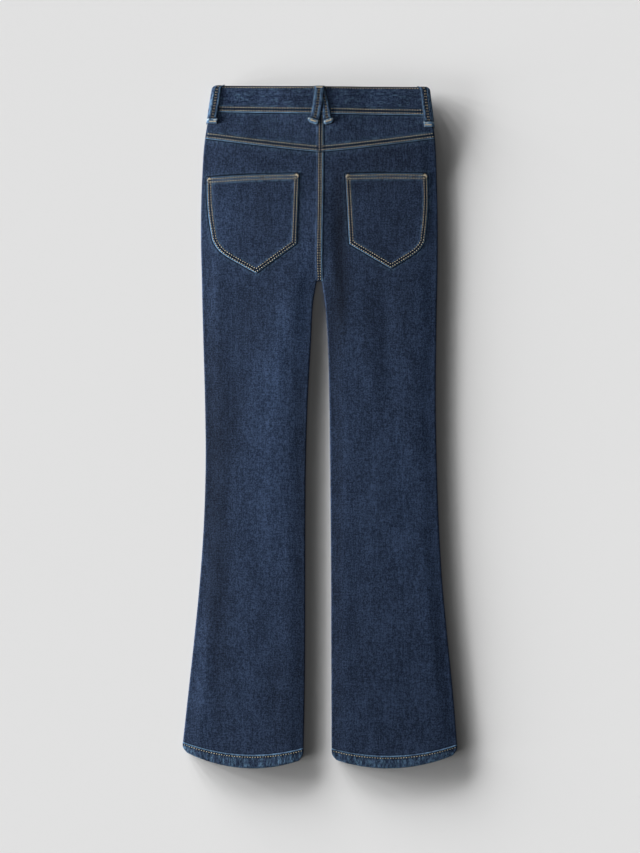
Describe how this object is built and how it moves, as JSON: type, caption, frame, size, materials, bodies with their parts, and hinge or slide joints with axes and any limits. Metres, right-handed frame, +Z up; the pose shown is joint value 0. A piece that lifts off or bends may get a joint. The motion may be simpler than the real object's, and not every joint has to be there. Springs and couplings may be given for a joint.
{
  "type": "bootcut jeans",
  "caption": "Bootcut jeans laid flat with the back up: flared legs, back yoke, two rounded patch pockets, belt loops and turned-up hems.",
  "frame": {"origin": "centre of the garment's outline, on the surface that it lies on", "axes": "+Y towards the waist, +Z up from the surface, the back of the garment up, +X to the wearer's right"},
  "size_m": [0.3949, 0.9792, 0.0132],
  "materials": {
    "denim": "dark indigo stretch denim twill, rinsed, slubby, with paler seam edges",
    "zip_tape": "dark blue woven zip tape with fine metal teeth",
    "button_brass": "antique brass tack button, plain domed cap",
    "thread": "spun topstitching thread, sand and ochre",
    "thread_tack": "dense orange tan bar tack thread"
  },
  "bodies": {
    "root": {"back_left": "denim", "back_right": "denim", "yoke_left": "denim", "yoke_right": "denim", "front_left": "denim", "front_right": "denim", "pocket_left": "denim", "pocket_right": "denim", "waistband": "denim", "hem_left": "denim", "hem_right": "denim", "loop_side_left": "denim", "loop_side_right": "denim", "loop_cross_left": "denim", "loop_cross_right": "denim", "loop_front_left": "denim", "loop_front_right": "denim", "zip": "zip_tape", "button": "button_brass"}
  },
  "joints": []
}
